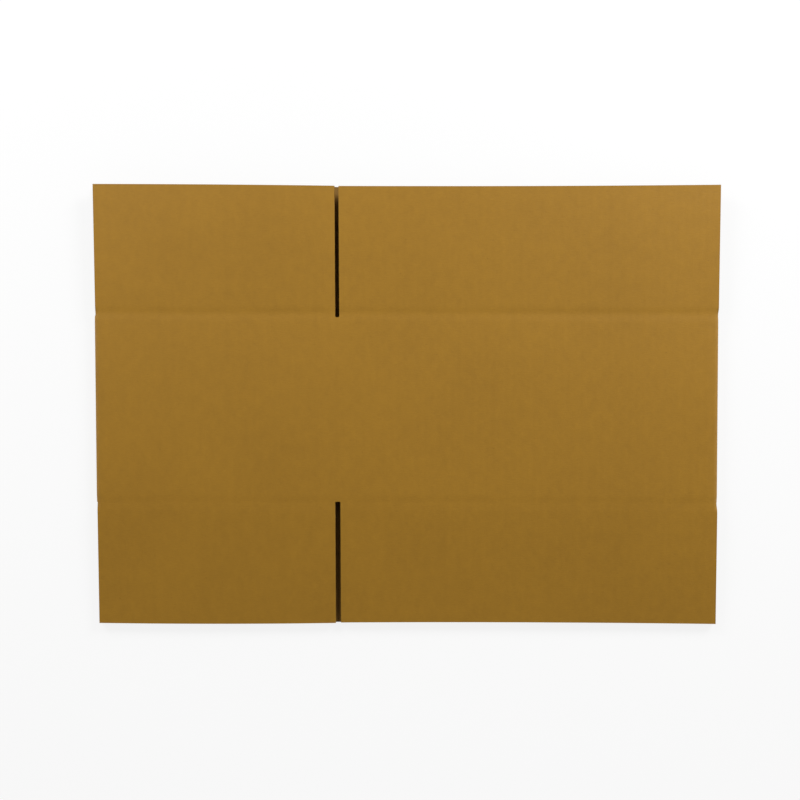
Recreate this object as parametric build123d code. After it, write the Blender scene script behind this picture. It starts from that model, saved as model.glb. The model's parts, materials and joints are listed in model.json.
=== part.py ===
"""A regular slotted shipping carton in single-wall corrugated board, folded flat.

The blank is four panels in a row, side, end, side, end, with a glue tab, and eight flaps. It is folded in two and glued
into a flat sleeve, so one side panel and one end panel lie side by side in each layer. In the upper layer the end panel
is on the left and the side panel on the right. In the lower layer they change places, and the tab joins them inside.

Sizes are in millimetres. The finished carton lies on z = 0 and is centred on x = 0 and y = 0, with the top flaps towards
+Y and the bottom flaps towards -Y. It is built with the body centred on y = 0, and moved at the end.
"""

import os
from math import asin, copysign, degrees, pi, sin

from build123d import *

# The blank, from crease to crease
board = 3.0  # thickness of the board
side_panel = 360.0  # width of each wide panel
end_panel = 229.0  # width of each narrow panel
body_height = 178.0  # between the top and bottom creases
top_flap = 120.0  # crease to free edge
bottom_flap = 115.0

# The slots between the flaps
slot_width = 3.8
top_slot_overrun = 4.0  # how far a slot runs past the crease into the body
bottom_slot_overrun = 2.0

# The flap creases, a shallow trough in the outer face
crease_width = 16.0
crease_depth = 0.35

# The folds at both sides
fold_neutral = 0.9  # how deep in the board the layer lies that keeps its length round a fold

# The score between the upper panels, pressed into the inner face
score_width = 6.0
score_depth = 0.4

# The glue tab, inside the sleeve
tab_width = 35.0
tab_taper = 14.0  # how much shorter each end is at the tab's outer edge
tab_bend = 4.0  # the run in which the tab rises by one board thickness
tab_clearance = 0.4  # between the tab and the upper layer

# How the upper flaps lie
crease_gap = 0.4  # between the sleeve and a flap, at the crease
top_flap_lift = 2.0  # degrees; the creases hold the top flaps a little open
flap_rest_gap = 0.35  # between a bottom flap's free edge and the flap under it

# Worked out from the sizes above
layer_gap = board + tab_clearance
thickness = 2 * board + layer_gap
fold_radius = thickness / 2
half_width = (side_panel + end_panel) / 2
neutral_radius = fold_radius - fold_neutral
# A quarter turn takes up this much of the panel, and the fold stands one radius out from where it starts.
fold_edge = half_width - pi / 2 * neutral_radius + fold_radius
flap_edge = half_width - slot_width / 2
panel_line = end_panel - half_width  # upper end panel on its left, upper side panel on its right
seam_line = side_panel - half_width  # lower side panel on its left, lower end panel on its right
top_crease = body_height / 2
bottom_crease = -body_height / 2
top_edge = top_crease + top_flap
bottom_edge = bottom_crease - bottom_flap
hinge_height = thickness - crease_depth
bottom_flap_droop = degrees(asin((layer_gap - flap_rest_gap) / bottom_flap))


def block(x, y, z):
    """A box between the two values of x, of y and of z."""
    size = [max(side) - min(side) for side in (x, y, z)]
    middle = [sum(side) / 2 for side in (x, y, z)]
    return Pos(*middle) * Box(*size)


def trough(width, depth):
    """The radius of the round trough that is so wide and so deep."""
    return ((width / 2) ** 2 + depth**2) / (2 * depth)


def flap_crease(y, face, outwards):
    """The cutter for a flap crease along X, in the face at that height. outwards is 1 for an upper face."""
    radius = trough(crease_width, crease_depth)
    centre = face + outwards * (radius - crease_depth)
    return Pos(0, y, centre) * Rot(0, 90, 0) * Cylinder(radius, 3 * half_width)


def slot_cutter(x, crease, overrun, heights):
    """The cutter for the round closed end of a slot along Y, which runs past a crease into the body."""
    towards = 1 if crease > 0 else -1
    round_centre = crease + towards * (slot_width / 2 - overrun)
    straight = block(
        (x - slot_width / 2, x + slot_width / 2), (round_centre, crease + towards * slot_width), heights
    )
    length = heights[1] - heights[0]
    return straight + Pos(x, round_centre, sum(heights) / 2) * Cylinder(slot_width / 2, length)


def fold_notch(side, crease, overrun):
    """The end of the slot that the fold wraps round: a notch in the sleeve's folded edge. side is 1 on the right."""
    towards = 1 if crease > 0 else -1
    half_height = fold_radius * sin(slot_width / 2 / neutral_radius)
    round_centre = crease + towards * (half_height - overrun)
    x = sorted((side * (fold_edge - 1.5 * board), side * (fold_edge + board)))
    heights = (thickness / 2 - half_height, thickness / 2 + half_height)
    straight = block(x, (round_centre, crease + towards * slot_width), heights)
    axle = Pos(sum(x) / 2, round_centre, thickness / 2) * Rot(0, 90, 0)
    return straight + axle * Cylinder(half_height, x[1] - x[0])


def glue_tab(half_length):
    """The tab, which bends up off the lower side panel and lies on the inside of the lower end panel."""
    bend_start = seam_line - tab_bend
    outer = seam_line + tab_width
    lower_line = [(bend_start, 0), (seam_line, board), (outer, board)]
    upper_line = [(x, z + board) for x, z in reversed(lower_line)]
    section = make_face(Polyline(*lower_line, *upper_line, close=True))
    tab = extrude(Plane.XZ * section, amount=half_length, both=True)
    root = seam_line + slot_width
    for end in (half_length, -half_length):
        tapered = end - copysign(tab_taper, end)
        corner = Polyline((root, end), (outer + board, end), (outer + board, tapered), close=True)
        tab -= extrude(make_face(corner), amount=thickness)
    return tab


def sleeve():
    """The flat tube of four panels, with the four flaps of its lower layer."""
    ends = (bottom_crease + crease_gap / 2, top_crease - crease_gap / 2)
    outside = SlotOverall(2 * fold_edge, thickness)
    inside = SlotOverall(2 * (fold_edge - board), layer_gap)
    tube = Plane.XZ * (Pos(0, thickness / 2) * (outside - inside))
    body = extrude(tube, amount=ends[1], both=True)

    # The seam: the lower side panel turns up into the tab, and the lower end panel is cut off square beside it.
    seam = (seam_line - tab_bend, seam_line + slot_width / 2)
    body -= block(seam, (bottom_edge, top_edge), (-board, board))
    body += glue_tab(ends[1])

    # The lower flaps, each side of the slot at the seam
    for start, edge in ((ends[1], top_edge), (ends[0], bottom_edge)):
        body += block((-flap_edge, seam_line - slot_width / 2), (start, edge), (0, board))
        body += block((seam_line + slot_width / 2, flap_edge), (start, edge), (0, board))

    for crease in (top_crease, bottom_crease):
        body -= flap_crease(crease, thickness, 1)
        body -= flap_crease(crease, 0, -1)

    for crease, overrun in ((top_crease, top_slot_overrun), (bottom_crease, bottom_slot_overrun)):
        body -= slot_cutter(panel_line, crease, overrun, (thickness - board - tab_clearance / 2, 2 * thickness))
        body -= slot_cutter(seam_line, crease, overrun, (-thickness, 2 * board + tab_clearance / 2))
        for side in (1, -1):
            body -= fold_notch(side, crease, overrun)

    # The score between the upper panels, on the inner face
    radius = trough(score_width, score_depth)
    top_of_score = thickness - board + score_depth
    score = Pos(panel_line, 0, top_of_score - radius) * Rot(90, 0, 0) * Cylinder(radius, 2 * body_height)
    half_score = (panel_line - score_width, panel_line + score_width)
    body -= score & block(half_score, (bottom_edge, top_edge), (2 * board + tab_clearance / 2, thickness))
    return body


def upper_flap(x, crease, edge, angle):
    """A flap of the upper layer between two values of x, turned up about its crease by an angle in degrees."""
    towards = 1 if edge > crease else -1
    start = crease + towards * crease_gap / 2
    flap = block(x, (start, edge), (thickness - board, thickness))
    flap -= flap_crease(crease, thickness, 1)
    hinge = Axis((0, crease, hinge_height), (1, 0, 0))
    return flap.rotate(hinge, towards * angle)


left_flap = (-flap_edge, panel_line - slot_width / 2)
right_flap = (panel_line + slot_width / 2, flap_edge)

nodes = {
    "sleeve": sleeve(),
    "top_minor_flap": upper_flap(left_flap, top_crease, top_edge, top_flap_lift),
    "top_major_flap": upper_flap(right_flap, top_crease, top_edge, top_flap_lift),
    "bottom_minor_flap": upper_flap(left_flap, bottom_crease, bottom_edge, -bottom_flap_droop),
    "bottom_major_flap": upper_flap(right_flap, bottom_crease, bottom_edge, -bottom_flap_droop),
}

# The flaps differ in depth, so the body is not in the middle of the whole.
to_middle = (bottom_flap - top_flap) / 2

os.makedirs("parts", exist_ok=True)
for name, solid in nodes.items():
    export_step(Pos(0, to_middle, 0) * solid, f"parts/{name}.step")
    print(name, len(solid.solids()), "solid", round(solid.volume), "mm3")
print("hinge axes at y =", top_crease + to_middle, "and", bottom_crease + to_middle, "z =", hinge_height)
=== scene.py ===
"""A slotted corrugated carton folded flat.

Its board, with both liners and the fluting between them, is built as the flat blank, and then folded.
"""

import json
import math

import bmesh
import bpy
from mathutils import Matrix, Vector, noise


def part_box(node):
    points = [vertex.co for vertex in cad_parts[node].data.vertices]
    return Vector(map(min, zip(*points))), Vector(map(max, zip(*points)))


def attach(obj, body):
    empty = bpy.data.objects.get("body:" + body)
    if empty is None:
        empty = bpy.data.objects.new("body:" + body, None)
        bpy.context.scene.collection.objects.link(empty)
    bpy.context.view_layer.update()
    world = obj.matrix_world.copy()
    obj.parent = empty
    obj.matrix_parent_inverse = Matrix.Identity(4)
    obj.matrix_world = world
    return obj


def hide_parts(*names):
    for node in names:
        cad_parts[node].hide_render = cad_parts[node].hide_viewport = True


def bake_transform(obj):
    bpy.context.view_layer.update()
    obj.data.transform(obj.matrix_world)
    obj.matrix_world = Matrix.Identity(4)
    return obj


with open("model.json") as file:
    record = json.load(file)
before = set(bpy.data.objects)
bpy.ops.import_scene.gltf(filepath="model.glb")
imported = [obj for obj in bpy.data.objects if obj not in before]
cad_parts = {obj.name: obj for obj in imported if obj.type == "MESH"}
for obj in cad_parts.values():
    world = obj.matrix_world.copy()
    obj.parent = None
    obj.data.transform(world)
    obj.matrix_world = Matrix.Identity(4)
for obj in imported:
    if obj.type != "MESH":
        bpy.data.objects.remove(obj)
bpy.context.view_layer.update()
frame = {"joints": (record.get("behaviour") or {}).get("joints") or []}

# ------------------------------ sizes, in metres, from the frame where it holds them

HINGES = {j["child"]: Vector(j["pos_m"]) for j in frame["joints"]}
TOP_CREASE = HINGES["top_major_flap"].y
BOTTOM_CREASE = HINGES["bottom_major_flap"].y
HINGE_HEIGHT = HINGES["top_major_flap"].z

sleeve_low, sleeve_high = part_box("sleeve")
THICKNESS = sleeve_high.z  # of the folded carton
TOP_EDGE = sleeve_high.y
BOTTOM_EDGE = sleeve_low.y
SLOT_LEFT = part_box("top_minor_flap")[1].x
SLOT_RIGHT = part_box("top_major_flap")[0].x
FLAP_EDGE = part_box("top_major_flap")[1].x
HALF_SLOT = (SLOT_RIGHT - SLOT_LEFT) / 2
PANEL_LINE = (SLOT_LEFT + SLOT_RIGHT) / 2
HALF_WIDTH = FLAP_EDGE + HALF_SLOT  # of the flat blank, between the two folds' creases

BOARD = 0.003
LINER = 0.00035  # thickness of the outer and of the inner paper
MEDIUM = 0.00025  # thickness of the fluted paper between them
FLUTE = 0.0064  # pitch
STEPS_PER_FLUTE = 8
SHARP_ANGLE = math.radians(35)  # edges that turn by more than this stay sharp
TOP_OVERRUN = 0.004  # how far a slot runs past the crease into the body
BOTTOM_OVERRUN = 0.002
CREASE_HALF = 0.008  # from the middle of a crease's trough to where it ends
TOP_PRESS = 0.00018  # how deep the top and bottom creases are pressed
BOTTOM_PRESS = 0.00020
BEND_RUN = 0.005  # past the crease, in which a flap takes up its angle
TAB_WIDTH = 0.035
TAB_TAPER = 0.014  # how much shorter each end is at the tab's outer edge
TAB_BEND = 0.004  # the run in which the tab rises by one board thickness
CORNER_RUN = 0.009  # in which a flap's corner flattens out of the fold
NARROW = 0.0009  # how much narrower the upper minor flaps were cut at the fold
OUT_OF_SQUARE = 0.0021  # the carton's lean, in radians
CREASE_WANDER = 0.0006  # how far a crease may stray from its straight line
CREASE_UNEVEN = 0.35  # the share by which its depth may vary
WAVE = 0.00035  # height of the upper layer's slow waves
RIPPLE = 0.00012  # height of its shorter ones

# How far the free edges of the upper flaps rise and drop at rest, and the angles in radians that this makes
TOP_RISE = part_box("top_major_flap")[1].z - THICKNESS
BOTTOM_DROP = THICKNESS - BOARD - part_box("bottom_major_flap")[0].z
TOP_LIFT = math.asin(TOP_RISE / (TOP_EDGE - TOP_CREASE))
BOTTOM_DROOP = math.asin(BOTTOM_DROP / (BOTTOM_CREASE - BOTTOM_EDGE))

# How many swirls to the metre the noise has that shapes each of these
WANDER_SWIRLS = 28
UNEVEN_SWIRLS = 45
WAVE_SWIRLS = 7
RIPPLE_SWIRLS = (26, 19)  # along x and along y

# How far apart the papers are cut to bend: across the panels, along the sleeve, in a trough and in a bend
PANEL_STEP = 0.012
SLEEVE_STEP = 0.015
TROUGH_STEP = 0.001
BEND_STEP = 0.0007

# How far each upper flap's free edge stands out, at its slot, its middle and its outer side
FREE_EDGES = {
    ("top", "minor"): (-0.0014, -0.0004, -0.0001),
    ("top", "major"): (-0.0016, -0.0013, 0.0002),
    ("bottom", "minor"): (-0.0003, 0.0008, 0.0002),
    ("bottom", "major"): (-0.0007, -0.0013, -0.0002),
}
LOWER_FREE_EDGES = {"top": -0.0010, "bottom": -0.0006}

# Where the two sides of each upper slot lie, from the panel line
UPPER_SLOTS = {"top": (-0.0012, 0.0026), "bottom": (-0.0019, 0.0030)}

# ------------------------------ the blank: s runs across the four panels from the seam

SIDE_PANEL = HALF_WIDTH - PANEL_LINE
END_PANEL = HALF_WIDTH + PANEL_LINE
FOLD = THICKNESS / 2  # outer radius of the two folds
FOLD_CENTRE = sleeve_high.x - FOLD
QUARTER = HALF_WIDTH - FOLD_CENTRE  # the blank's share in a quarter turn
LEFT_FOLD = SIDE_PANEL
UPPER_LINE = SIDE_PANEL + END_PANEL
RIGHT_FOLD = UPPER_LINE + SIDE_PANEL
CUT_END = RIGHT_FOLD + END_PANEL - HALF_SLOT
SLOT_TOP = TOP_CREASE - TOP_OVERRUN + HALF_SLOT  # centre of each slot's round end
SLOT_BOTTOM = BOTTOM_CREASE + BOTTOM_OVERRUN - HALF_SLOT


def slots(end):
    """The middle and the half width of each slot at the top or the bottom."""
    left, right = UPPER_SLOTS[end]
    upper = (UPPER_LINE + (left + right) / 2, (right - left) / 2)
    return [(0.0, HALF_SLOT), (LEFT_FOLD, HALF_SLOT), upper, (RIGHT_FOLD, HALF_SLOT)]


def smooth(t):
    """A soft step from 0 to 1."""
    t = min(1.0, max(0.0, t))
    return t * t * (3 - 2 * t)


def flat_place(s, depth):
    """Where a point of the blank lies, in x and z, if its layer runs on flat past the folds."""
    if s < LEFT_FOLD:
        return -HALF_WIDTH + (LEFT_FOLD - s), depth
    if s < RIGHT_FOLD:
        return -HALF_WIDTH + (s - LEFT_FOLD), THICKNESS - depth
    return HALF_WIDTH - (s - RIGHT_FOLD), depth


def folded_place(s, depth):
    """Where a point of the blank lies round the sleeve."""
    for crease, side in ((LEFT_FOLD, -1), (RIGHT_FOLD, 1)):
        if abs(s - crease) < QUARTER:
            turn = (s - crease) / QUARTER * math.pi / 2  # 0 at the middle of the fold
            radius = FOLD - depth
            x = side * (FOLD_CENTRE + radius * math.cos(turn))
            return x, FOLD - side * radius * math.sin(turn)
    x, z = flat_place(s, depth)
    if s < TAB_BEND:
        z += BOARD * smooth((TAB_BEND - s) / TAB_BEND)
    return x, z


def crease_noise(s, crease, swirls, seed):
    """Noise along a crease. Each crease and each seed has its own."""
    return noise.noise(Vector((s * swirls, crease * 50, seed)))


def crease_press(s, y):
    """How deep the creases are pressed at a place on the blank. They wander a little, and vary in depth."""
    press = 0.0
    for crease, deepest in ((TOP_CREASE, TOP_PRESS), (BOTTOM_CREASE, BOTTOM_PRESS)):
        wander = CREASE_WANDER * crease_noise(s, crease, WANDER_SWIRLS, 1.0)
        reach = abs(y - crease - wander) / CREASE_HALF
        if reach < 1:
            uneven = 1 + CREASE_UNEVEN * crease_noise(s, crease, UNEVEN_SWIRLS, 4.0)
            press += deepest * uneven * (0.5 + 0.5 * math.cos(math.pi * reach))
    return press


def free_edge(s, end):
    """How far the free edge of the flap at s stands out from the straight, at the top or the bottom."""
    if not LEFT_FOLD < s < RIGHT_FOLD:
        return LOWER_FREE_EDGES[end]
    minor = s < UPPER_LINE
    # u is 0 at the slot and 1 at the flap's outer side
    u = (UPPER_LINE - s) / END_PANEL if minor else (s - UPPER_LINE) / SIDE_PANEL
    slot, middle, outer = FREE_EDGES[end, "minor" if minor else "major"]
    return slot * (1 - u) * (1 - 2 * u) + middle * 4 * u * (1 - u) + outer * u * (2 * u - 1)


def fold(s, y, depth):
    """Carries a point of the flat blank to its place on the folded carton."""
    depth += crease_press(s, y) * (1 - depth / BOARD)
    past = max(y - SLOT_TOP, SLOT_BOTTOM - y)
    x, z = folded_place(s, depth)
    upper = LEFT_FOLD < s < RIGHT_FOLD
    top = y > 0
    if past > 0:
        share = smooth(past / CORNER_RUN)
        flat_x, flat_z = flat_place(s, depth)
        x += (flat_x - x) * share
        z += (flat_z - z) * share
        crease, edge = (TOP_CREASE, TOP_EDGE) if top else (BOTTOM_CREASE, BOTTOM_EDGE)
        outwards = 1 if top else -1
        y += outwards * free_edge(s, "top" if top else "bottom") * max(0, (y - crease) / (edge - crease))
    point = Vector((x, y, z))
    if upper and past > 0:
        hinge = Vector((0, TOP_CREASE if top else BOTTOM_CREASE, HINGE_HEIGHT))
        end = hinge.y + math.copysign(BEND_RUN, y)
        start = SLOT_TOP if top else SLOT_BOTTOM
        angle = (TOP_LIFT if top else BOTTOM_DROOP) * smooth((y - start) / (end - start))
        point = hinge + Matrix.Rotation(angle, 3, "X") @ (point - hinge)
    if upper:
        # The upper layer is never quite flat, and its waves are too low to reach the layer below.
        wave = noise.noise(Vector((point.x * WAVE_SWIRLS, point.y * WAVE_SWIRLS, 2.0)))
        ripple = noise.noise(Vector((point.x * RIPPLE_SWIRLS[0], point.y * RIPPLE_SWIRLS[1], 5.0)))
        point.z += WAVE * wave + RIPPLE * ripple
    return Vector((point.x - OUT_OF_SQUARE * point.y, point.y - OUT_OF_SQUARE * point.x, point.z))


def stations(start, stop, step, *dense):
    """Cutting places from start to stop, one step apart, and closer in each dense stretch.

    A dense stretch is given by its middle, its reach to both sides and its own step.
    """
    count = max(1, round((stop - start) / step))
    found = {round(start + (stop - start) * i / count, 6) for i in range(1, count)}
    for middle, reach, fine in dense:
        steps = max(1, round(2 * reach / fine))
        found |= {round(middle - reach + 2 * reach * i / steps, 6) for i in range(steps + 1)}
    return sorted(p for p in found if start + 1e-5 < p < stop - 1e-5)


def cut_across(bm, axis, places):
    """Cuts the whole mesh by a plane at each place along an axis."""
    normal = Vector((0, 0, 0))
    normal[axis] = 1
    for place in places:
        everything = bm.verts[:] + bm.edges[:] + bm.faces[:]
        bmesh.ops.bisect_plane(bm, geom=everything, plane_co=normal * place, plane_no=normal, dist=1e-7)


def paper(s, y, depth, thick, s_cuts, y_cuts):
    """A flat sheet of paper between two values of s and two of y, with its outer face at a depth."""
    bm = bmesh.new()
    bmesh.ops.create_cube(bm, size=1)
    bmesh.ops.scale(bm, vec=(s[1] - s[0], y[1] - y[0], thick), verts=bm.verts)
    middle = ((s[0] + s[1]) / 2, (y[0] + y[1]) / 2, -depth - thick / 2)
    bmesh.ops.translate(bm, vec=middle, verts=bm.verts)
    cut_across(bm, 0, s_cuts)
    cut_across(bm, 1, y_cuts)
    return bm


def fluting(s, y, y_cuts):
    """The medium in the blank: a thin sheet in waves along s, whose flutes run along y."""
    bm = bmesh.new()
    steps = round((s[1] - s[0]) / FLUTE * STEPS_PER_FLUTE)
    bmesh.ops.create_grid(bm, x_segments=steps, y_segments=1, size=0.5)
    bmesh.ops.scale(bm, vec=(s[1] - s[0], y[1] - y[0], 1), verts=bm.verts)
    bmesh.ops.translate(bm, vec=((s[0] + s[1]) / 2, (y[0] + y[1]) / 2, 0), verts=bm.verts)
    cut_across(bm, 1, y_cuts)
    made = bmesh.ops.extrude_face_region(bm, geom=bm.faces[:])["geom"]
    lower = [v for v in made if isinstance(v, bmesh.types.BMVert)]
    bmesh.ops.translate(bm, vec=(0, 0, -MEDIUM), verts=lower)
    swing = (BOARD - 2 * LINER - MEDIUM) / 2
    for v in bm.verts:
        v.co.z += MEDIUM / 2 - BOARD / 2 + swing * math.sin(2 * math.pi * v.co.x / FLUTE)
    return bm


def round_slot_ends(bm, ends):
    """Draws the sleeve's ends back round each slot's closed end, and along the tab's tapered ends."""
    for v in bm.verts:
        for end in ends:
            if abs(v.co.y - end) < 1e-6:
                back = 0.0
                for middle, reach in slots("top" if end > 0 else "bottom"):
                    away = abs(v.co.x - middle) / reach
                    if away < 1:
                        back = HALF_SLOT * math.sqrt(1 - away**2)
                if v.co.x < -HALF_SLOT:
                    back = TAB_TAPER * -v.co.x / TAB_WIDTH
                v.co.y -= math.copysign(back, end)


def folded(name, bm, material):
    """Folds a piece of the blank and makes the object. An attribute keeps each point's place on the blank."""
    bmesh.ops.recalc_face_normals(bm, faces=bm.faces)
    layer = bm.verts.layers.float_vector.new("blank")
    for v in bm.verts:
        v[layer] = v.co
        v.co = fold(v.co.x, v.co.y, -v.co.z)
    bmesh.ops.recalc_face_normals(bm, faces=bm.faces)
    mesh = bpy.data.meshes.new(name)
    bm.to_mesh(mesh)
    bm.free()
    mesh.shade_smooth()
    mesh.set_sharp_from_angle(angle=SHARP_ANGLE)
    mesh.materials.append(material)
    piece = bpy.data.objects.new(name, mesh)
    bpy.context.scene.collection.objects.link(piece)
    return piece


# ------------------------------ materials

FLECKS = 0.2  # how dark the flecks are
RELIEF_HEIGHT = 0.00012
RELIEF_STRENGTH = 0.35
GLOSS = 0.45


def shader(name):
    """A new material, with its node tree and the node that shades its surface."""
    material = bpy.data.materials.new(name)
    material.use_nodes = True
    tree = material.node_tree
    surface = tree.nodes["Principled BSDF"]
    return material, tree, surface


def kraft(name, light, dark, roughness, mottle):
    """Matt brown kraft paper between two colours: clouds of pulp, long fibres and a few flecks.

    mottle says how far its tones spread between the two.
    """
    material, tree, surface = shader(name)
    link = tree.links.new

    def node(kind, **values):
        made = tree.nodes.new(kind)
        for key, value in values.items():
            setattr(made, key, value)
        return made

    place = node("ShaderNodeAttribute", attribute_name="blank")

    def clouds(scale, stretch, detail, rough=0.55):
        """Noise with that many swirls to the metre, drawn out by a stretch in s and y."""
        mapping = node("ShaderNodeMapping")
        mapping.inputs["Scale"].default_value = (stretch[0], stretch[1], 1)
        link(place.outputs["Vector"], mapping.inputs["Vector"])
        texture = node("ShaderNodeTexNoise")
        texture.inputs["Scale"].default_value = scale
        texture.inputs["Detail"].default_value = detail
        texture.inputs["Roughness"].default_value = rough
        link(mapping.outputs["Vector"], texture.inputs["Vector"])
        return texture.outputs["Fac"]

    def between(value, low, high, new_low, new_high):
        """A value brought from one range to another, and held inside it."""
        made = node("ShaderNodeMapRange")
        for key, number in (("From Min", low), ("From Max", high), ("To Min", new_low), ("To Max", new_high)):
            made.inputs[key].default_value = number
        link(value, made.inputs["Value"])
        return made.outputs["Result"]

    def maths(operation, first, second):
        """One operation on two values, either of which may be a plain number."""
        made = node("ShaderNodeMath", operation=operation)
        for slot, value in zip(made.inputs, (first, second)):
            if isinstance(value, (int, float)):
                slot.default_value = value
            else:
                link(value, slot)
        return made.outputs["Value"]

    def centred(noise_value):
        """Noise brought to between -0.5 and 0.5."""
        return between(noise_value, 0.3, 0.7, -0.5, 0.5)

    def weighted(*parts):
        """Some values added up, each times its weight."""
        total = None
        for value, weight in parts:
            product = maths("MULTIPLY", value, weight)
            total = product if total is None else maths("ADD", total, product)
        return total

    pulp = centred(clouds(9, (1, 1), 3))
    blotches = centred(clouds(120, (1, 0.7), 4, 0.62))
    fibres = centred(clouds(900, (0.22, 1), 3, 0.6))
    grain = centred(clouds(2600, (1, 1), 2))
    streaks = centred(clouds(60, (1.6, 0.06), 2))
    tone = weighted((pulp, 0.35), (blotches, 0.45), (fibres, 0.4), (streaks, 0.10), (grain, 0.25))
    tone = maths("ADD", maths("MULTIPLY", tone, mottle), 0.5)
    colour = node("ShaderNodeMix", data_type="RGBA", clamp_factor=True)
    link(tone, colour.inputs["Factor"])
    colour.inputs["A"].default_value = (*dark, 1)
    colour.inputs["B"].default_value = (*light, 1)

    flecks = between(clouds(420, (0.5, 1), 1), 0.735, 0.79, 0, FLECKS)
    flecked = node("ShaderNodeMix", data_type="RGBA", clamp_factor=True)
    link(flecks, flecked.inputs["Factor"])
    link(colour.outputs["Result"], flecked.inputs["A"])
    flecked.inputs["B"].default_value = (dark[0] * 0.45, dark[1] * 0.4, dark[2] * 0.4, 1)
    link(flecked.outputs["Result"], surface.inputs["Base Color"])

    # The flutes show faintly through the paper, as a washboard.
    across = node("ShaderNodeSeparateXYZ")
    link(place.outputs["Vector"], across.inputs["Vector"])
    washboard = maths("SINE", maths("MULTIPLY", across.outputs["X"], 2 * math.pi / FLUTE), 0)
    relief = weighted((fibres, 0.6), (grain, 0.4), (blotches, 1.2), (washboard, 0.25))
    bump = node("ShaderNodeBump")
    bump.inputs["Strength"].default_value = RELIEF_STRENGTH
    bump.inputs["Distance"].default_value = RELIEF_HEIGHT
    link(relief, bump.inputs["Height"])
    link(bump.outputs["Normal"], surface.inputs["Normal"])
    surface.inputs["Roughness"].default_value = roughness
    surface.inputs["Specular IOR Level"].default_value = GLOSS
    return material


OUTER = kraft(
    "outer_kraft_liner", light=(0.378, 0.189, 0.0110), dark=(0.292, 0.143, 0.0075), roughness=0.60, mottle=0.75
)
INNER = kraft(
    "inner_kraft_liner", light=(0.280, 0.145, 0.022), dark=(0.180, 0.090, 0.013), roughness=0.85, mottle=1.1
)
FLUTED = kraft(
    "fluting_medium", light=(0.270, 0.148, 0.036), dark=(0.160, 0.084, 0.018), roughness=0.88, mottle=1.2
)

# ------------------------------ the board, in three papers

# Each liner's depth in the board, its thickness and its material
SHEETS = {
    "outer_liner": (0.0, LINER, OUTER),
    "inner_liner": (BOARD - LINER, LINER, INNER),
}


def board(name, s, y, s_cuts, y_cuts, finish_piece, ends=()):
    """The three papers of one stretch of the blank, each handed to finish_piece once it is folded.

    ends are the values of y at which the stretch has the closed ends of slots.
    """
    for layer, (depth, thick, material) in SHEETS.items():
        bm = paper(s, y, depth, thick, s_cuts, y_cuts)
        round_slot_ends(bm, ends)
        finish_piece(folded(f"{name}_{layer}", bm, material))
    bm = fluting(s, y, y_cuts)
    round_slot_ends(bm, ends)
    finish_piece(folded(f"{name}_fluting", bm, FLUTED))


def sleeve_piece(piece):
    """Makes a piece part of the sleeve."""
    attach(piece, "sleeve")
    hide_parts("sleeve")


def make_sleeve():
    """The four panels and the glue tab, between the slots' closed ends."""
    folds = [(crease, QUARTER, QUARTER / 7) for crease in (LEFT_FOLD, RIGHT_FOLD)]
    slot_ends = [(middle, reach, reach / 4) for end in UPPER_SLOTS for middle, reach in slots(end)]
    s = (-TAB_WIDTH, CUT_END)
    s_cuts = stations(*s, PANEL_STEP, *folds, *slot_ends, (TAB_BEND / 2, TAB_BEND, TAB_BEND / 4))
    ends = (SLOT_BOTTOM, SLOT_TOP)
    half = CREASE_HALF / 2
    troughs = [(middle, half, TROUGH_STEP) for middle in (SLOT_BOTTOM + half, SLOT_TOP - half)]
    y_cuts = stations(*ends, SLEEVE_STEP, *troughs)
    board("sleeve", s, ends, s_cuts, y_cuts, sleeve_piece, ends)


def make_flap(name, s, top, body=None):
    """One flap, from the slots' closed ends to its free edge. An upper flap bends at its crease and hides its
    part, named by body; a lower one joins the sleeve.
    """
    if top:
        start, crease, edge = SLOT_TOP, TOP_CREASE, TOP_EDGE
    else:
        start, crease, edge = SLOT_BOTTOM, BOTTOM_CREASE, BOTTOM_EDGE
    bend_end = crease + math.copysign(BEND_RUN, crease)
    trough_end = crease + math.copysign(CREASE_HALF, crease)
    y = sorted((start, edge))
    bend_middle, bend_reach = (start + bend_end) / 2, abs(bend_end - start) / 2
    bend = (bend_middle, bend_reach, BEND_STEP)
    trough = (trough_end, CREASE_HALF / 2, TROUGH_STEP)
    s_cuts = stations(*s, PANEL_STEP, (s[0], QUARTER, QUARTER / 5), (s[1], QUARTER, QUARTER / 5))
    y_cuts = stations(*y, PANEL_STEP, bend, trough)

    def finish_piece(piece):
        if body is None:
            sleeve_piece(piece)
        else:
            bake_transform(piece)
            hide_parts(body)

    board(name, s, y, s_cuts, y_cuts, finish_piece)


make_sleeve()
for end, top in (("top", True), ("bottom", False)):
    slot_left, slot_right = UPPER_SLOTS[end]
    upper_minor = (LEFT_FOLD + HALF_SLOT + NARROW, UPPER_LINE + slot_left)
    upper_major = (UPPER_LINE + slot_right, RIGHT_FOLD - HALF_SLOT)
    make_flap(f"{end}_minor_flap_board", upper_minor, top, f"{end}_minor_flap")
    make_flap(f"{end}_major_flap_board", upper_major, top, f"{end}_major_flap")
    make_flap(f"lower_{end}_major_flap", (HALF_SLOT, LEFT_FOLD - HALF_SLOT), top)
    make_flap(f"lower_{end}_minor_flap", (RIGHT_FOLD + HALF_SLOT, CUT_END), top)

# ------------------------------ floor, light and camera

FLOOR_HALF = 6.0  # from its middle to each side
FLOOR_DROP = 0.0002  # keeps the floor clear of the carton's underside
FLOOR_GLOW = 0.85  # how much of the floor's look to the camera is plain white
HORIZON_LIGHT = 1.2
DARK_FROM = 0.85  # the height on the sky's dome, from 0 to 1, above which it gives no light
KEY_SIZE = 0.5
CAMERA_PLACE = (-0.0038, 0.0407, 1.0525)
CAMERA_AIM = (-0.00615, 0.00537, 0)


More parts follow.
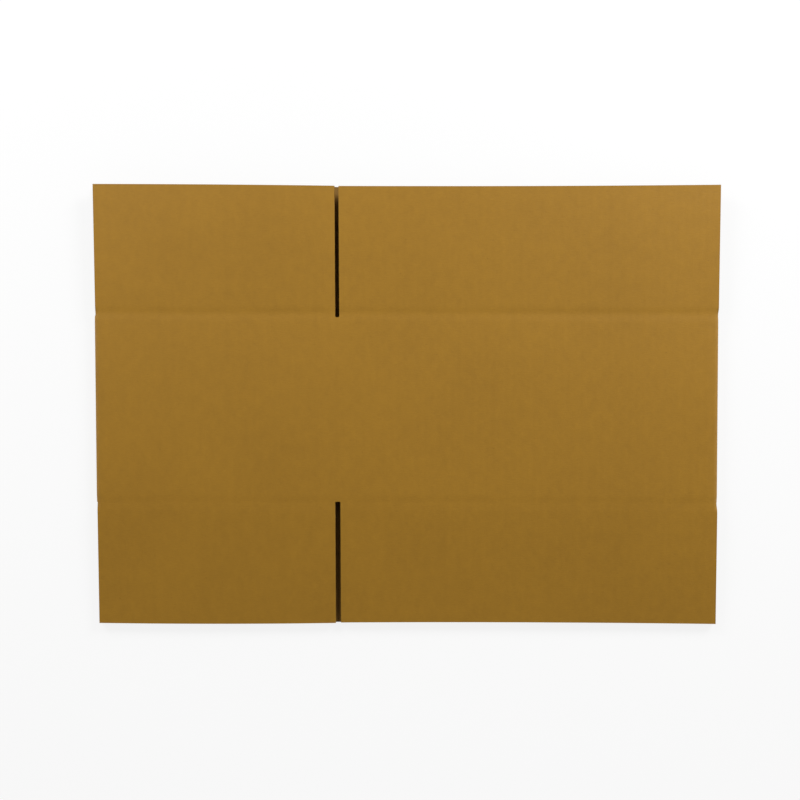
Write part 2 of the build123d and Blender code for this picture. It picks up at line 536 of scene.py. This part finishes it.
def make_floor():
    """A pale floor that shows near white to the camera and keeps the carton's shadow."""
    bm = bmesh.new()
    bmesh.ops.create_grid(bm, x_segments=2, y_segments=2, size=FLOOR_HALF)
    bmesh.ops.translate(bm, vec=(0, 0, -FLOOR_DROP), verts=bm.verts)
    mesh = bpy.data.meshes.new("floor")
    bm.to_mesh(mesh)
    bm.free()
    material, tree, surface = shader("pale_floor")
    surface.inputs["Base Color"].default_value = (0.86, 0.86, 0.86, 1)
    surface.inputs["Roughness"].default_value = 0.9
    surface.inputs["Specular IOR Level"].default_value = 0.1
    glow = tree.nodes.new("ShaderNodeEmission")
    path = tree.nodes.new("ShaderNodeLightPath")
    share = tree.nodes.new("ShaderNodeMath")
    share.operation = "MULTIPLY"
    share.inputs[1].default_value = FLOOR_GLOW
    mix = tree.nodes.new("ShaderNodeMixShader")
    tree.links.new(path.outputs["Is Camera Ray"], share.inputs[0])
    tree.links.new(share.outputs["Value"], mix.inputs["Fac"])
    tree.links.new(surface.outputs["BSDF"], mix.inputs[1])
    tree.links.new(glow.outputs["Emission"], mix.inputs[2])
    tree.links.new(mix.outputs["Shader"], tree.nodes["Material Output"].inputs["Surface"])
    mesh.materials.append(material)
    floor = bpy.data.objects.new("floor", mesh)
    bpy.context.scene.collection.objects.link(floor)


def lamp(name, place, power):
    """A square soft light aimed at the carton."""
    light = bpy.data.lights.new(name, "AREA")
    light.shape = "SQUARE"
    light.size = KEY_SIZE
    light.energy = power
    made = bpy.data.objects.new(name, light)
    made.location = place
    made.rotation_euler = (-Vector(place)).to_track_quat("-Z", "Y").to_euler()
    bpy.context.scene.collection.objects.link(made)


def make_world():
    """White to the camera. Its light comes from low down and not from above, so that the slots stay dark."""
    world = bpy.data.worlds.new("studio")
    world.use_nodes = True
    tree = world.node_tree
    direction = tree.nodes.new("ShaderNodeTexCoord")
    parts = tree.nodes.new("ShaderNodeSeparateXYZ")
    sky = tree.nodes.new("ShaderNodeMapRange")
    for key, number in (("From Min", 0), ("From Max", DARK_FROM), ("To Min", HORIZON_LIGHT), ("To Max", 0)):
        sky.inputs[key].default_value = number
    path = tree.nodes.new("ShaderNodeLightPath")
    seen = tree.nodes.new("ShaderNodeMix")
    seen.inputs["B"].default_value = 1
    tree.links.new(direction.outputs["Generated"], parts.inputs["Vector"])
    tree.links.new(parts.outputs["Z"], sky.inputs["Value"])
    tree.links.new(path.outputs["Is Camera Ray"], seen.inputs["Factor"])
    tree.links.new(sky.outputs["Result"], seen.inputs["A"])
    tree.links.new(seen.outputs["Result"], tree.nodes["Background"].inputs["Strength"])
    tree.nodes["Background"].inputs["Color"].default_value = (1, 1, 1, 1)
    bpy.context.scene.world = world


def make_camera():
    """Looks almost straight down, from a little towards the top flaps."""
    camera = bpy.data.cameras.new("camera")
    camera.lens = 50
    camera.sensor_width = 36
    made = bpy.data.objects.new("camera", camera)
    made.location = CAMERA_PLACE
    back = (made.location - Vector(CAMERA_AIM)).normalized()
    right = Vector((0, 1, 0)).cross(back).normalized()
    turn = Matrix((right, back.cross(right), back)).transposed()
    made.rotation_euler = turn.to_euler()
    bpy.context.scene.collection.objects.link(made)
    bpy.context.scene.camera = made


make_floor()
lamp("right_key", (0.9, 1.0, 0.7), 19)
lamp("left_key", (-0.9, 1.0, 0.7), 13.3)
make_world()
make_camera()
bpy.context.scene.view_settings.view_transform = "Standard"
